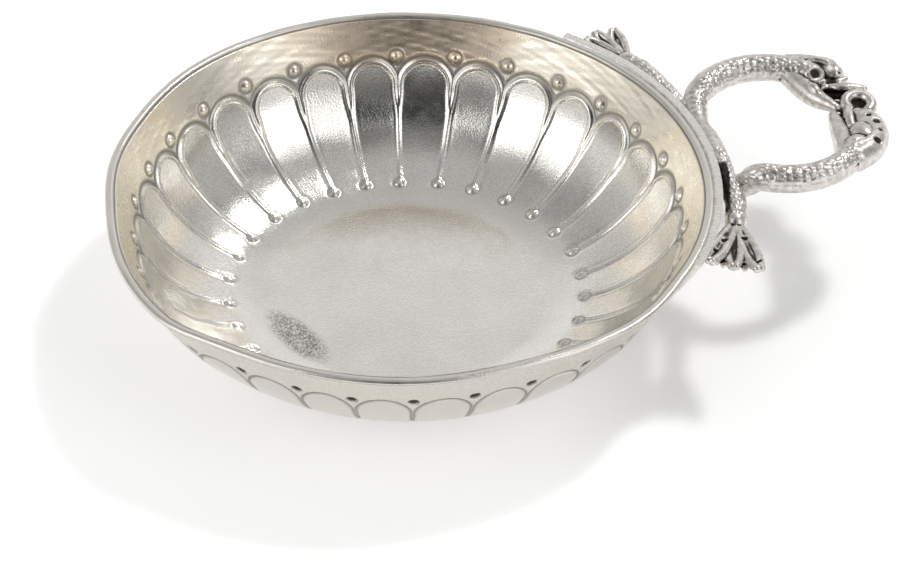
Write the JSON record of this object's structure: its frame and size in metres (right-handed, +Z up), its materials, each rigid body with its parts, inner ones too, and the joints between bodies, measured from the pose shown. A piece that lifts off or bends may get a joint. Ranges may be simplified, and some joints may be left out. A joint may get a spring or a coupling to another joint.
{
  "type": "tastevin",
  "caption": "Shallow fluted silver wine tasting bowl with bead rings and a ring handle of two entwined serpents with open mouths and fan tails, for judging colour and clarity of wine",
  "frame": {"origin": "centre of the flat underside that the bowl stands on", "axes": "+Z up through the middle of the bowl, +X towards the ring handle"},
  "size_m": [0.1055, 0.08, 0.0203],
  "materials": {
    "polished_silver": "hand polished silver, warm tone, fine scratches",
    "cast_silver": "cast and chased silver, oxidised in the recesses",
    "silver_solder": "silver solder, filed smooth"
  },
  "bodies": {
    "root": {"bowl": "polished_silver", "rim_strap": "polished_silver", "rear_serpent": "cast_silver", "front_serpent": "cast_silver", "strap_solder": "silver_solder", "crossing_solder": "silver_solder", "rear_tail_solder": "silver_solder", "front_tail_solder": "silver_solder", "tongue_solder": "silver_solder"}
  },
  "joints": []
}
